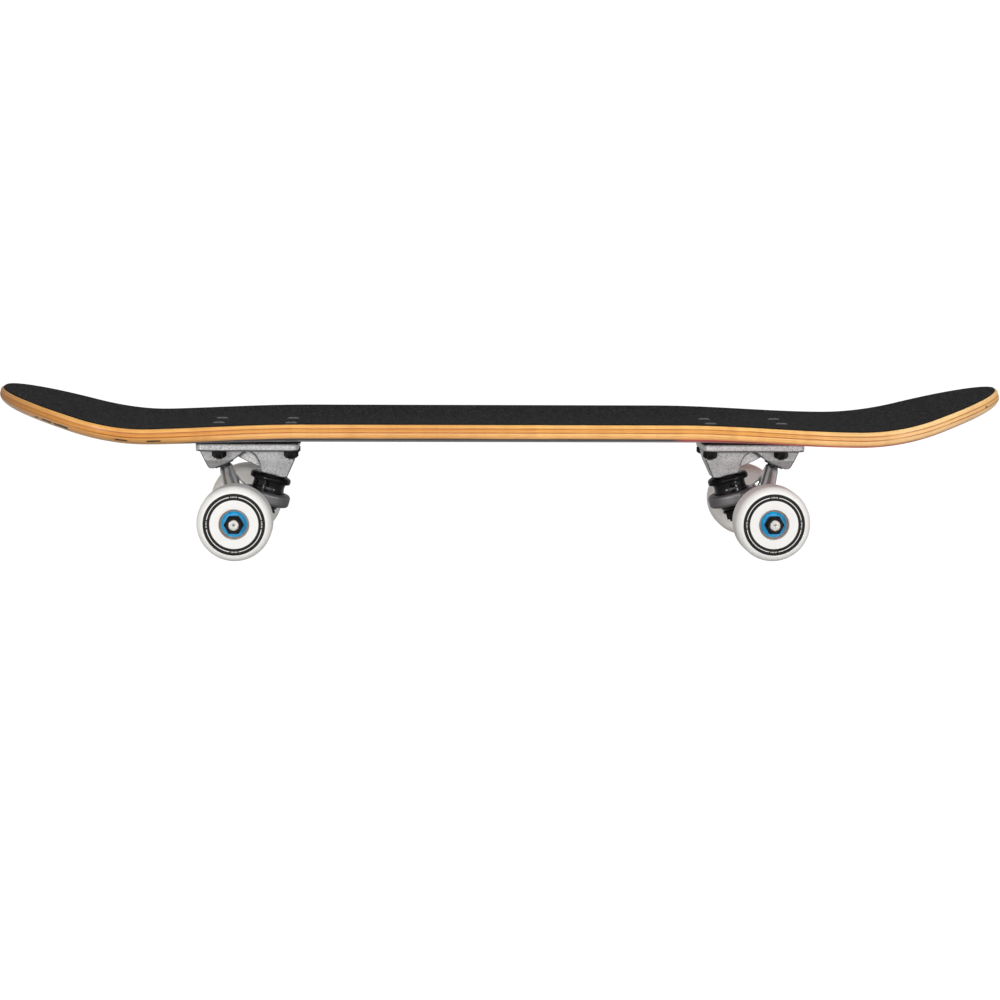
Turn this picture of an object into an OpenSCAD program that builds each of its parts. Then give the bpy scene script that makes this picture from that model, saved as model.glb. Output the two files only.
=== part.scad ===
// Complete street skateboard: seven-ply deck, grip sheet, two trucks, four wheels.
// Millimetres. Origin on the ground under the middle of the bounding box.
// +X points to the nose, +Y to the rider's left, +Z up.
// A truck is drawn once, with x counted inboard from its axle, then placed twice.

/* [Deck] */
// Straight-line length of the deck, tail tip to nose tip
deck_len = 759; // [600:1:850]
// Width of the deck across the middle
deck_w = 182; // [160:1:220]
// Thickness of one maple veneer
ply_t = 1.6; // [1.2:0.1:2]
// Thickness of the grip sheet
grip_t = 1; // [0.6:0.1:2]
// Horizontal length of each upturned end
kick_len = 122; // [90:1:160]
// How square the tail's rounding is: 1 gives an ellipse, less gives a fuller tip
tail_full = 0.88; // [0.6:0.01:1.2]
// How square the nose's rounding is: 1 gives an ellipse, less gives a fuller tip
nose_full = 1.03; // [0.6:0.01:1.2]
// Radius of the bend at each upturned end
kick_r = 206; // [120:1:320]
// Angle each upturned end rises to
kick_angle = 17; // [8:1:25]
// Height that the long edges rise above the middle
concave = 6.1; // [0:0.1:12]
// Concave rise left at the tail
concave_tail = 1.5; // [0:0.1:6]
// Concave rise left at the nose
concave_nose = 0.6; // [0:0.1:6]

/* [Trucks] */
// Tail axle position along the board
tail_x = -198.5; // [-260:0.5:-150]
// Nose axle position along the board
nose_x = 194.4; // [150:0.5:260]
// Lean of the kingpin from upright
kingpin_tilt = 15.5; // [5:0.5:35]
// Radius of the kingpin
kingpin_r = 4.76; // [4:0.01:6]
// Radius of the axle
axle_r = 3.97; // [3.5:0.01:5]
// Distance from the centre line to each axle end
axle_half = 97.5; // [85:0.5:120]
// Distance from the centre line to each end of the hanger
hanger_half = 63.5; // [50:0.5:80]
// Outer radius of the ring that the bushings clamp
ring_r = 18.5; // [15:0.5:24]
// Thickness of the riser pad
riser_t = 2.5; // [0.8:0.1:6]

/* [Wheels] */
// Wheel radius
wheel_r = 27.5; // [24:0.5:35]
// Wheel width across the tread and both lips
wheel_w = 31; // [26:0.5:40]
// Radial depth of each rounded lip
lip_r = 5.5; // [2:0.5:9]
// Sideways depth of each rounded lip
lip_w = 7.5; // [2:0.5:12]
// Outer radius of a bearing
bearing_r = 11; // [10:0.5:13]
// Width of a bearing
bearing_w = 7; // [6:0.5:8]

/* [Hidden] */
$fn = 64;
eps = 0.01;

plies = 7;
axle_z = wheel_r;
plate_z = 74.3;
plate_t = 6.3;
riser_z = plate_z + plate_t;
deck_z = riser_z + riser_t;
wood_t = plies * ply_t;
half_len = deck_len / 2;
half_w = deck_w / 2;
kick_x = half_len - kick_len;
flat_half = 25;
fade_tail_x = 150;
fade_nose_x = 125;
fade_len = 135;
bend_run = kick_r * sin(kick_angle);
bend_rise = kick_r * (1 - cos(kick_angle));

// Bolt pattern: 2-1/8 by 1-5/8 inch, with one spare outboard pair in the baseplate
bolt_y = 20.64;
bolt_out_t = -15.1;
bolt_in_t = bolt_out_t + 53.8;
bolt_spare_t = -24.6;
bolt_r = 2.4;
bolt_hole_r = 2.7;
bolt_head_r = 4.5;
bolt_head_h = 2.4;
bolt_crown = 0.6;
mount_nut_af = 9.5;
mount_nut_h = 5.2;

// Kingpin axis: a point on it, and heights measured up the axis from that point
kp = [22.1, 51];
kp_bore_r = kingpin_r + 0.05;
seat_k = 4;
cup_k = 1.9;
rim_k = -1.2;
ring_top_k = -9;
ring_bot_k = -18.5;
recess = 1.5;
washer_k = -22.9;
washer_t = 1.8;
kp_nut_k = washer_k - washer_t;
kp_nut_h = 7;
kp_end_k = kp_nut_k - kp_nut_h - 1.6;
kp_head_k = 19;
kp_head_h = 5;
kp_head_r = 8;
kp_nut_af = 14.3;
bush_r = 12.5;
bush_bore_r = kingpin_r + 0.25;
ring_bore_r = 8;
washer_pocket_r = 10.75;
nut_pocket_r = 9.4;
pocket_swing = 4.5;

// Pivot: centre of the ball end, and the lean of the stem from upright
pivot = [-15.3, 67.5];
pivot_lean = 27.4;
stem_r = 4.2;
cup_r = 7.4;
cup_gap = 0.3;

// Axle stack, distances from the centre line
stack_washer_t = 1;
inner_bearing_y = hanger_half + stack_washer_t;
spacer_y = inner_bearing_y + bearing_w;
outer_bearing_y = 81.5;
outer_washer_y = outer_bearing_y + bearing_w;
axle_nut_y = outer_washer_y + stack_washer_t;
axle_nut_t = 6.5;
axle_nut_af = 12.7;
wheel_y = 61;
race_bore_r = axle_r + 0.03;
race_in_r = 6.1;
race_out_r = 9.5;
ball_r = 1.98;
ball_pitch_r = 7.78;
balls = 7;
shield_t = 0.5;

// Colours
maple = "#e8c07c";
maple_cross = "#c98f58";
maple_dark = "#4a3f3c";
grip_black = "#2a2a2c";
cast_grey = "#b9bbbe";
polished = "#d4d5d8";
steel = "#a9abad";
black_part = "#1b1b1d";
wheel_white = "#f2efe8";
shield_blue = "#1f8fd0";

// ---- Deck surface ----

function smooth01(u) = let (c = min(1, max(0, u))) c * c * (3 - 2 * c);

function smooth01_slope(u) = (u <= 0 || u >= 1) ? 0 : 6 * u * (1 - u);

// Rise of the centre line at a distance past the start of an upturned end
function kick_rise(s) =
  s <= 0 ? 0 :
  s < bend_run ? kick_r - sqrt(kick_r * kick_r - s * s) :
  bend_rise + (s - bend_run) * tan(kick_angle);

function kick_slope(s) =
  s <= 0 ? 0 :
  s < bend_run ? s / sqrt(kick_r * kick_r - s * s) :
  tan(kick_angle);

// The concave fades out towards each end, a little sooner at the nose
function concave_u(x) = (abs(x) - (x < 0 ? fade_tail_x : fade_nose_x)) / fade_len;

function concave_loss(x) = concave - (x < 0 ? concave_tail : concave_nose);

function concave_at(x) = concave - concave_loss(x) * smooth01(concave_u(x));

function concave_slope(x) =
  -concave_loss(x) * smooth01_slope(concave_u(x)) / fade_len * sign(x);

function dish_v(y) = max(0, abs(y) - flat_half) / (half_w - flat_half);

function dish(y) = dish_v(y) * dish_v(y);

function dish_slope(y) = 2 * dish_v(y) / (half_w - flat_half) * sign(y);

// Point at height w above the underside of the deck, measured square to the surface
function deck_point(x, y, w) =
  let (
    z = deck_z + kick_rise(abs(x) - kick_x) + concave_at(x) * dish(y),
    zx = kick_slope(abs(x) - kick_x) * sign(x) + concave_slope(x) * dish(y),
    zy = concave_at(x) * dish_slope(y),
    n = sqrt(1 + zx * zx + zy * zy)
  )
  [x - w * zx / n, y - w * zy / n, z + w / n];

// Stations along the nose half: [x, half width], then mirrored for the tail
tip_angles = [for (a = [0 : 7.5 : 82.5]) a, 87.5];
mid_x = [fade_nose_x, 143, 161, 179, 197, 215, 235];
function half_outline(full) = concat(
  [for (x = mid_x) [x, half_w]],
  [for (a = tip_angles) [kick_x + kick_len * pow(sin(a), full), half_w * pow(cos(a), full)]]
);
tail_half = half_outline(tail_full);
nose_half = half_outline(nose_full);
stations = concat(
  [for (i = [len(tail_half) - 1 : -1 : 0]) [-tail_half[i][0], tail_half[i][1]]],
  nose_half
);
lanes = [-1, -0.85, -0.7, -0.55, -0.4, -0.27, 0.27, 0.4, 0.55, 0.7, 0.85, 1];
ns = len(stations);
nl = len(lanes);

// Index of a grid point: level 0 is the lower face, level 1 the upper
function gi(i, j, level) = level * ns * nl + i * nl + j;

module deck_layer(w0, w1) {
  points = [
    for (w = [w0, w1]) for (s = stations) for (l = lanes) deck_point(s[0], s[1] * l, w)
  ];
  lower = [
    for (i = [0 : ns - 2]) for (j = [0 : nl - 2])
      each [
        [gi(i, j, 0), gi(i + 1, j, 0), gi(i + 1, j + 1, 0)],
        [gi(i, j, 0), gi(i + 1, j + 1, 0), gi(i, j + 1, 0)]
      ]
  ];
  upper = [
    for (i = [0 : ns - 2]) for (j = [0 : nl - 2])
      each [
        [gi(i, j, 1), gi(i + 1, j + 1, 1), gi(i + 1, j, 1)],
        [gi(i, j, 1), gi(i, j + 1, 1), gi(i + 1, j + 1, 1)]
      ]
  ];
  right = [
    for (i = [0 : ns - 2])
      each [
        [gi(i, 0, 0), gi(i, 0, 1), gi(i + 1, 0, 1)],
        [gi(i, 0, 0), gi(i + 1, 0, 1), gi(i + 1, 0, 0)]
      ]
  ];
  left = [
    for (i = [0 : ns - 2])
      each [
        [gi(i, nl - 1, 0), gi(i + 1, nl - 1, 1), gi(i, nl - 1, 1)],
        [gi(i, nl - 1, 0), gi(i + 1, nl - 1, 0), gi(i + 1, nl - 1, 1)]
      ]
  ];
  tail_end = [
    for (j = [0 : nl - 2])
      each [
        [gi(0, j, 0), gi(0, j + 1, 1), gi(0, j, 1)],
        [gi(0, j, 0), gi(0, j + 1, 0), gi(0, j + 1, 1)]
      ]
  ];
  nose_end = [
    for (j = [0 : nl - 2])
      each [
        [gi(ns - 1, j, 0), gi(ns - 1, j, 1), gi(ns - 1, j + 1, 1)],
        [gi(ns - 1, j, 0), gi(ns - 1, j + 1, 1), gi(ns - 1, j + 1, 0)]
      ]
  ];
  polyhedron(points, concat(lower, upper, right, left, tail_end, nose_end), convexity = 6);
}

module veneer(i) {
  difference() {
    deck_layer((i - 1) * ply_t, i * ply_t);
    deck_bolt_holes();
  }
}

module grip_tape() {
  color(grip_black)
    difference() {
      deck_layer(wood_t, wood_t + grip_t);
      deck_bolt_holes();
    }
}

module veneer_1() { color(maple_dark) veneer(1); }
module veneer_2() { color(maple) veneer(2); }
module veneer_3() { color(maple_cross) veneer(3); }
module veneer_4() { color(maple) veneer(4); }
module veneer_5() { color(maple_cross) veneer(5); }
module veneer_6() { color(maple) veneer(6); }
module veneer_7() { color(maple) veneer(7); }

// ---- Placing a truck ----

module at_tail() {
  translate([tail_x, 0, 0]) children();
}

module at_nose() {
  translate([nose_x, 0, 0]) rotate([0, 0, 180]) children();
}

// z becomes the kingpin axis, with its zero at the reference point
module on_kingpin() {
  translate([kp[0], 0, kp[1]]) rotate([0, kingpin_tilt, 0]) children();
}

// z becomes the pivot stem axis, with its zero at the ball centre, pointing up
module on_pivot() {
  translate([pivot[0], 0, pivot[1]]) rotate([0, -pivot_lean, 0]) children();
}

// Side outline in the x-z plane, made into a slab of width w about the centre line
module side_slab(w) {
  rotate([90, 0, 0]) linear_extrude(w, center = true) children();
}

// End outline in the y-z plane, made into a slab from x = a to x = b
module end_slab(a, b) {
  translate([a, 0, 0]) rotate([90, 0, 90]) linear_extrude(b - a) children();
}

module rounded_rect(x0, x1, half, r) {
  offset(r)
    translate([x0 + r, -half + r])
      square([x1 - x0 - 2 * r, 2 * half - 2 * r]);
}

module hex_prism(af, h) {
  cylinder(r = af / 2 / cos(30), h = h, $fn = 6);
}

// ---- Fasteners through the deck ----

module bolt_places(ts) {
  for (t = ts)
    for (side = [-1, 1])
      translate([t, side * bolt_y, 0]) children();
}

module deck_bolt_cut() {
  translate([0, 0, deck_z - 1]) cylinder(r = bolt_hole_r, h = wood_t + 4);
  translate([0, 0, deck_z + wood_t + grip_t - bolt_head_h])
    cylinder(r1 = bolt_hole_r, r2 = bolt_head_r + 0.1, h = bolt_head_h);
  translate([0, 0, deck_z + wood_t + grip_t - eps])
    cylinder(r = bolt_head_r + 0.1, h = 3);
}

module deck_bolt_holes() {
  at_tail() bolt_places([bolt_out_t, bolt_in_t]) deck_bolt_cut();
  at_nose() bolt_places([bolt_out_t, bolt_in_t]) deck_bolt_cut();
}

module mounting_bolt() {
  top = deck_z + wood_t + grip_t;
  bottom = plate_z - mount_nut_h - 1.2;
  difference() {
    union() {
      translate([0, 0, bottom]) cylinder(r = bolt_r, h = top - bottom - bolt_head_h + eps, $fn = 32);
      translate([0, 0, top - bolt_head_h])
        cylinder(r1 = bolt_r, r2 = bolt_head_r, h = bolt_head_h, $fn = 48);
      translate([0, 0, top - eps])
        cylinder(r1 = bolt_head_r, r2 = bolt_head_r - 1.4, h = bolt_crown, $fn = 48);
    }
    for (a = [0, 90])
      rotate([0, 0, a])
        translate([-2.2, -0.5, top - 1.2]) cube([4.4, 1, 3]);
  }
}

module mounting_bolts() {
  color(black_part) bolt_places([bolt_out_t, bolt_in_t]) mounting_bolt();
}

module mounting_nuts() {
  color(black_part)
    bolt_places([bolt_out_t, bolt_in_t])
      translate([0, 0, plate_z - mount_nut_h])
        difference() {
          intersection() {
            hex_prism(mount_nut_af, mount_nut_h);
            cylinder(r1 = mount_nut_af / 2 - 0.4, r2 = mount_nut_af / 2 + 12, h = 12.4);
          }
          translate([0, 0, -1]) cylinder(r = bolt_r, h = mount_nut_h + 2, $fn = 32);
        }
}

module riser_pad() {
  color(black_part)
    translate([0, 0, riser_z])
      linear_extrude(riser_t)
        difference() {
          rounded_rect(-34, 46, 29, 5);
          bolt_places([bolt_spare_t, bolt_out_t, bolt_in_t]) circle(r = bolt_hole_r, $fn = 32);
        }
}

// ---- Baseplate and kingpin ----

module baseplate_plate() {
  translate([0, 0, plate_z + 0.8])
    linear_extrude(plate_t - 0.8) rounded_rect(-32.4, 44.2, 27.2, 4.5);
  translate([0, 0, plate_z])
    linear_extrude(0.8) rounded_rect(-31.8, 43.6, 26.6, 3.9);
}

module pivot_housing() {
  intersection() {
    side_slab(40)
      polygon([
        [-31.4, 76], [-24.4, 61], [-23.2, 59.8], [-20.2, 59.5], [-12.5, 62.9],
        [-7, 65.4], [-3.4, 67.6], [-1.2, 69.3], [1, 71.4], [4, 72.8], [6, 76]
      ]);
    end_slab(-40, 12)
      polygon([[-14, 76], [-12.6, 66], [-9, 59], [9, 59], [12.6, 66], [14, 76]]);
  }
}

module kingpin_housing() {
  intersection() {
    side_slab(40)
      polygon([
        [6, 76], [8, 72.6], [10.8, 71], [13, 68], [14.4, 64.6], [15.1, 60.5],
        [16.2, 54], [34, 49], [34.8, 52.4], [41, 66.2], [43.2, 76]
      ]);
    end_slab(0, 50)
      polygon([[-15.5, 76], [-14.2, 66], [-11.6, 53], [11.6, 53], [14.2, 66], [15.5, 76]]);
    // Lower end cut square to the kingpin
    on_kingpin() translate([-40, -40, seat_k]) cube([80, 80, 60]);
  }
}

module baseplate_web() {
  side_slab(9)
    polygon([[-7, 65.8], [-2.4, 68.4], [14.6, 59.8], [18, 59.8], [18, 76], [-7, 76]]);
}

module baseplate_bores() {
  bolt_places([bolt_spare_t, bolt_out_t, bolt_in_t])
    translate([0, 0, plate_z - 20]) cylinder(r = bolt_hole_r, h = 40, $fn = 32);
  // Socket for the pivot cup, open on the lower face
  on_pivot() translate([0, 0, -30]) cylinder(r = cup_r, h = 30 + 5.4);
  // Kingpin bore, and the pocket for its head
  on_kingpin() translate([0, 0, -2]) cylinder(r = kp_bore_r, h = 40);
  on_kingpin() translate([0, 0, kp_head_k]) cylinder(r = kp_head_r + 0.6, h = 30);
}

module baseplate() {
  color(cast_grey)
    difference() {
      union() {
        baseplate_plate();
        pivot_housing();
        kingpin_housing();
        baseplate_web();
      }
      baseplate_bores();
    }
}

module pivot_cup() {
  color(black_part)
    difference() {
      intersection() {
        on_pivot() translate([0, 0, -12]) cylinder(r = cup_r, h = 12 + 5.4);
        // Trimmed to stand a millimetre proud of the housing
        side_slab(40)
          polygon([[-40, 49.6], [-20.2, 58.4], [-12.5, 61.8], [6, 70], [6, 90], [-40, 90]]);
      }
      on_pivot() {
        sphere(r = stem_r + cup_gap, $fn = 48);
        translate([0, 0, -14])
          cylinder(r1 = stem_r + cup_gap + 1.3, r2 = stem_r + cup_gap, h = 14, $fn = 48);
      }
    }
}

module kingpin() {
  color(steel)
    on_kingpin() {
      translate([0, 0, kp_end_k + 0.8])
        cylinder(r = kingpin_r, h = kp_head_k - kp_end_k - 0.8 + eps, $fn = 48);
      translate([0, 0, kp_end_k])
        cylinder(r1 = kingpin_r - 0.8, r2 = kingpin_r, h = 0.8, $fn = 48);
      translate([0, 0, kp_head_k]) cylinder(r = kp_head_r, h = kp_head_h, $fn = 48);
    }
}

module kingpin_nut() {
  color(black_part)
    on_kingpin()
      difference() {
        union() {
          translate([0, 0, kp_nut_k - kp_nut_h + 1.8]) hex_prism(kp_nut_af, kp_nut_h - 1.8);
          translate([0, 0, kp_nut_k - kp_nut_h]) cylinder(r = 6.4, h = 2);
        }
        translate([0, 0, kp_nut_k - 20]) cylinder(r = kingpin_r, h = 30, $fn = 48);
      }
}

// Rings about the kingpin, each drawn as [radius, height up the axis]
module kingpin_ring(profile) {
  on_kingpin() rotate_extrude($fn = 96) polygon(profile);
}

module top_washer() {
  color(black_part)
    kingpin_ring([
      [kp_bore_r, seat_k], [12.6, seat_k], [14.7, 3.1], [15.5, 2], [15.5, -0.6],
      [14.9, rim_k], [13.6, rim_k], [13.2, -0.7], [13.2, 0.2], [10.8, cup_k], [kp_bore_r, cup_k]
    ]);
}

module bottom_washer() {
  color(black_part)
    kingpin_ring([
      [kp_bore_r, washer_k], [9.6, washer_k], [10, washer_k - 0.5],
      [10, kp_nut_k + 0.4], [9.6, kp_nut_k], [kp_bore_r, kp_nut_k]
    ]);
}

module top_bushing() {
  color(black_part)
    kingpin_ring([
      [bush_bore_r, cup_k], [10.6, cup_k], [12.4, 0.4], [12.4, -2.6], [12.1, -3.6],
      [12.1, -5.6], [12.4, -6.6], [bush_r, ring_top_k - recess], [bush_bore_r, ring_top_k - recess]
    ]);
}

module bottom_bushing() {
  color(black_part)
    kingpin_ring([
      [bush_bore_r, ring_bot_k + recess], [12.2, ring_bot_k + recess], [12.1, ring_bot_k - 0.6],
      [9.5, washer_k + 0.4], [9.2, washer_k], [bush_bore_r, washer_k]
    ]);
}

// ---- Hanger ----

module beam(r, half) {
  translate([0, 0, axle_z]) rotate([90, 0, 0]) cylinder(r = r, h = 2 * half, center = true);
}

module beam_ends() {
  for (side = [0, 180])
    translate([0, 0, axle_z])
      rotate([0, 0, side])
        rotate([-90, 0, 0]) {
          cylinder(r1 = 11, r2 = 8.4, h = 50);
          translate([0, 0, 50 - eps]) cylinder(r = 8.4, h = hanger_half - 51.5 + 2 * eps);
          translate([0, 0, hanger_half - 1.5]) cylinder(r1 = 8.4, r2 = 6.9, h = 1.5);
        }
}

module hanger_ring() {
  kingpin_ring([
    [0, ring_top_k], [ring_r - 1.5, ring_top_k], [ring_r, ring_top_k - 1.5],
    [ring_r, ring_bot_k + 1.5], [ring_r - 1.5, ring_bot_k], [0, ring_bot_k]
  ]);
}

// Gusset that spreads from the ring to the beam
module hanger_neck() {
  hull() {
    intersection() {
      on_kingpin() translate([0, 0, ring_bot_k + 0.5]) cylinder(r = ring_r - 0.5, h = 8.5, $fn = 48);
      on_kingpin() translate([-40, -40, -60]) cube([36, 80, 80]);
    }
    translate([0, 0, axle_z])
      rotate([90, 0, 0]) cylinder(r = 9.6, h = 56, center = true, $fn = 40);
  }
}

// Arm that rises from the beam to the pivot stem
module hanger_arm() {
  hull() {
    on_pivot() translate([0, 0, -9.2]) cylinder(r = 5.3, h = 1, $fn = 32);
    translate([-3.4, 0, axle_z + 8])
      rotate([90, 0, 0]) cylinder(r = 6.4, h = 34, center = true, $fn = 40);
  }
}

module hanger_fin() {
  side_slab(5)
    polygon([
      [-12, 58], [-7.6, 62], [-5.8, 58.8], [-3.4, 54.7], [-0.4, 50.5], [3.4, 47.1], [7.2, 44.7],
      [11.5, 43], [12, 36], [-6, 34]
    ]);
}

module hanger_stem() {
  on_pivot() {
    sphere(r = stem_r, $fn = 48);
    translate([0, 0, -8.5]) cylinder(r1 = stem_r + 0.2, r2 = stem_r, h = 8.5, $fn = 48);
  }
}

// Slot that lets the washer and nut swing, open towards the middle of the board
module nut_pocket(r, k0, k1) {
  for (side = [-pocket_swing, pocket_swing])
    translate([0, side, k0]) cylinder(r = r, h = k1 - k0);
  translate([-r, -pocket_swing, k0]) cube([r + 40, 2 * pocket_swing, k1 - k0]);
}

// Space for the bushings, kingpin and nut
module hanger_voids() {
  on_kingpin() {
    translate([0, 0, ring_top_k - recess]) cylinder(r = 12.8, h = 20, $fn = 96);
    translate([0, 0, -30]) cylinder(r = ring_bore_r, h = 30);
    translate([0, 0, ring_bot_k - 3]) cylinder(r = 12.6, h = 3 + recess, $fn = 96);
    nut_pocket(washer_pocket_r, kp_nut_k - 1.5, ring_bot_k);
    nut_pocket(nut_pocket_r, -60, ring_bot_k);
    translate([0, -16.25, -60]) cube([40, 32.5, 60 + ring_bot_k]);
  }
  beam(axle_r, hanger_half + 1);
}

module hanger() {
  color(polished)
    difference() {
      union() {
        beam_ends();
        hanger_ring();
        hanger_neck();
        hanger_arm();
        hanger_fin();
        hanger_stem();
      }
      hanger_voids();
    }
}

// ---- Axle stack ----

// z becomes the outward axle direction on each side in turn
module both_sides() {
  for (side = [0, 180])
    translate([0, 0, axle_z]) rotate([0, 0, side]) rotate([-90, 0, 0]) children();
}

module tube(r_in, r_out, z0, z1) {
  translate([0, 0, z0])
    difference() {
      cylinder(r = r_out, h = z1 - z0);
      translate([0, 0, -1]) cylinder(r = r_in, h = z1 - z0 + 2);
    }
}

module axle() {
  color(steel)
    difference() {
      union() {
        beam(axle_r, axle_half - 0.8);
        both_sides()
          translate([0, 0, axle_half - 0.8 - eps]) cylinder(r1 = axle_r, r2 = axle_r - 0.7, h = 0.8 + eps);
      }
      both_sides() translate([0, 0, axle_half - 1]) cylinder(r1 = 0, r2 = 1.5, h = 1.2, $fn = 24);
    }
}

module axle_nuts() {
  color(black_part)
    both_sides()
      difference() {
        union() {
          translate([0, 0, axle_nut_y]) hex_prism(axle_nut_af, axle_nut_t - 1.5);
          translate([0, 0, axle_nut_y + axle_nut_t - 1.6]) cylinder(r = 5.7, h = 1.6);
        }
        translate([0, 0, axle_nut_y - 1]) cylinder(r = axle_r, h = 10);
      }
}

module speed_washers() {
  color(steel)
    both_sides() {
      tube(race_bore_r, 5.9, hanger_half, inner_bearing_y);
      tube(race_bore_r, 5.9, outer_washer_y, axle_nut_y);
    }
}

module bearing_spacers() {
  color(steel) both_sides() tube(race_bore_r, 5.6, spacer_y, outer_bearing_y);
}

module race(r_in, r_out) {
  rotate_extrude()
    difference() {
      translate([r_in, 0]) square([r_out - r_in, bearing_w]);
      translate([ball_pitch_r, bearing_w / 2]) circle(r = ball_r + 0.06, $fn = 40);
    }
}

module bearing_inner_races() {
  color(steel)
    both_sides()
      for (y = [inner_bearing_y, outer_bearing_y])
        translate([0, 0, y]) race(race_bore_r, race_in_r);
}

// ---- Wheel, drawn about z with the side nearest the truck at z = 0 ----

function lip(cx, cy, a0, a1) =
  [for (i = [0 : 6]) let (a = a0 + (a1 - a0) * i / 6) [cx + lip_r * cos(a), cy + lip_w * sin(a)]];

module wheel_body() {
  seat_in = spacer_y - wheel_y;
  seat_out = outer_bearing_y - wheel_y;
  rotate_extrude($fn = 128)
    polygon(concat(
      [[bearing_r, 0]],
      lip(wheel_r - lip_r, lip_w, -90, 0),
      lip(wheel_r - lip_r, wheel_w - lip_w, 0, 90),
      [
        [bearing_r, wheel_w], [bearing_r, seat_out], [9, seat_out],
        [9, seat_in], [bearing_r, seat_in]
      ]
    ));
}

module wheel() {
  color(wheel_white) wheel_body();
}

module outer_races() {
  color(steel)
    for (y = [inner_bearing_y, outer_bearing_y])
      translate([0, 0, y - wheel_y]) race(race_out_r, bearing_r);
}

module shields() {
  color(shield_blue)
    for (y = [inner_bearing_y, outer_bearing_y])
      translate([0, 0, y - wheel_y]) {
        tube(race_in_r + 0.1, race_out_r, 0, shield_t);
        tube(race_in_r + 0.1, race_out_r, bearing_w - shield_t, bearing_w);
      }
}

module ball_sets() {
  color(steel)
    for (y = [inner_bearing_y, outer_bearing_y])
      for (i = [0 : balls - 1])
        rotate([0, 0, i * 360 / balls])
          translate([ball_pitch_r, 0, y - wheel_y + bearing_w / 2]) sphere(r = ball_r, $fn = 24);
}

// side -1 is the rider's right, +1 the left
module at_wheel(side) {
  translate([0, side * wheel_y, axle_z]) rotate([-90 * side, 0, 0]) children();
}

module at_tail_right() { at_tail() at_wheel(-1) children(); }
module at_tail_left() { at_tail() at_wheel(1) children(); }
module at_nose_right() { at_nose() at_wheel(1) children(); }
module at_nose_left() { at_nose() at_wheel(-1) children(); }

// ---- Named sub-parts ----

module tail_riser_pad() { at_tail() riser_pad(); }
module tail_baseplate() { at_tail() baseplate(); }
module tail_pivot_cup() { at_tail() pivot_cup(); }
module tail_kingpin() { at_tail() kingpin(); }
module tail_kingpin_nut() { at_tail() kingpin_nut(); }
module tail_top_washer() { at_tail() top_washer(); }
module tail_bottom_washer() { at_tail() bottom_washer(); }
module tail_top_bushing() { at_tail() top_bushing(); }
module tail_bottom_bushing() { at_tail() bottom_bushing(); }
module tail_mounting_bolts() { at_tail() mounting_bolts(); }
module tail_mounting_nuts() { at_tail() mounting_nuts(); }
module nose_riser_pad() { at_nose() riser_pad(); }
module nose_baseplate() { at_nose() baseplate(); }
module nose_pivot_cup() { at_nose() pivot_cup(); }
module nose_kingpin() { at_nose() kingpin(); }
module nose_kingpin_nut() { at_nose() kingpin_nut(); }
module nose_top_washer() { at_nose() top_washer(); }
module nose_bottom_washer() { at_nose() bottom_washer(); }
module nose_top_bushing() { at_nose() top_bushing(); }
module nose_bottom_bushing() { at_nose() bottom_bushing(); }
module nose_mounting_bolts() { at_nose() mounting_bolts(); }
module nose_mounting_nuts() { at_nose() mounting_nuts(); }
module tail_hanger() { at_tail() hanger(); }
module tail_axle() { at_tail() axle(); }
module tail_axle_nuts() { at_tail() axle_nuts(); }
module tail_speed_washers() { at_tail() speed_washers(); }
module tail_bearing_spacers() { at_tail() bearing_spacers(); }
module tail_bearing_inner_races() { at_tail() bearing_inner_races(); }
module nose_hanger() { at_nose() hanger(); }
module nose_axle() { at_nose() axle(); }
module nose_axle_nuts() { at_nose() axle_nuts(); }
module nose_speed_washers() { at_nose() speed_washers(); }
module nose_bearing_spacers() { at_nose() bearing_spacers(); }
module nose_bearing_inner_races() { at_nose() bearing_inner_races(); }
module tail_right_wheel() { at_tail_right() wheel(); }
module tail_right_outer_races() { at_tail_right() outer_races(); }
module tail_right_shields() { at_tail_right() shields(); }
module tail_right_balls() { at_tail_right() ball_sets(); }
module tail_left_wheel() { at_tail_left() wheel(); }
module tail_left_outer_races() { at_tail_left() outer_races(); }
module tail_left_shields() { at_tail_left() shields(); }
module tail_left_balls() { at_tail_left() ball_sets(); }
module nose_right_wheel() { at_nose_right() wheel(); }
module nose_right_outer_races() { at_nose_right() outer_races(); }
module nose_right_shields() { at_nose_right() shields(); }
module nose_right_balls() { at_nose_right() ball_sets(); }
module nose_left_wheel() { at_nose_left() wheel(); }
module nose_left_outer_races() { at_nose_left() outer_races(); }
module nose_left_shields() { at_nose_left() shields(); }
module nose_left_balls() { at_nose_left() ball_sets(); }

veneer_1();
veneer_2();
veneer_3();
veneer_4();
veneer_5();
veneer_6();
veneer_7();
grip_tape();
tail_riser_pad();
tail_baseplate();
tail_pivot_cup();
tail_kingpin();
tail_kingpin_nut();
tail_top_washer();
tail_bottom_washer();
tail_top_bushing();
tail_bottom_bushing();
tail_mounting_bolts();
tail_mounting_nuts();
nose_riser_pad();
nose_baseplate();
nose_pivot_cup();
nose_kingpin();
nose_kingpin_nut();
nose_top_washer();
nose_bottom_washer();
nose_top_bushing();
nose_bottom_bushing();
nose_mounting_bolts();
nose_mounting_nuts();
tail_hanger();
tail_axle();
tail_axle_nuts();
tail_speed_washers();
tail_bearing_spacers();
tail_bearing_inner_races();
nose_hanger();
nose_axle();
nose_axle_nuts();
nose_speed_washers();
nose_bearing_spacers();
nose_bearing_inner_races();
tail_right_wheel();
tail_right_outer_races();
tail_right_shields();
tail_right_balls();
tail_left_wheel();
tail_left_outer_races();
tail_left_shields();
tail_left_balls();
nose_right_wheel();
nose_right_outer_races();
nose_right_shields();
nose_right_balls();
nose_left_wheel();
nose_left_outer_races();
nose_left_shields();
nose_left_balls();
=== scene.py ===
import math
import bmesh
import bpy
from mathutils import Matrix, Vector


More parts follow.
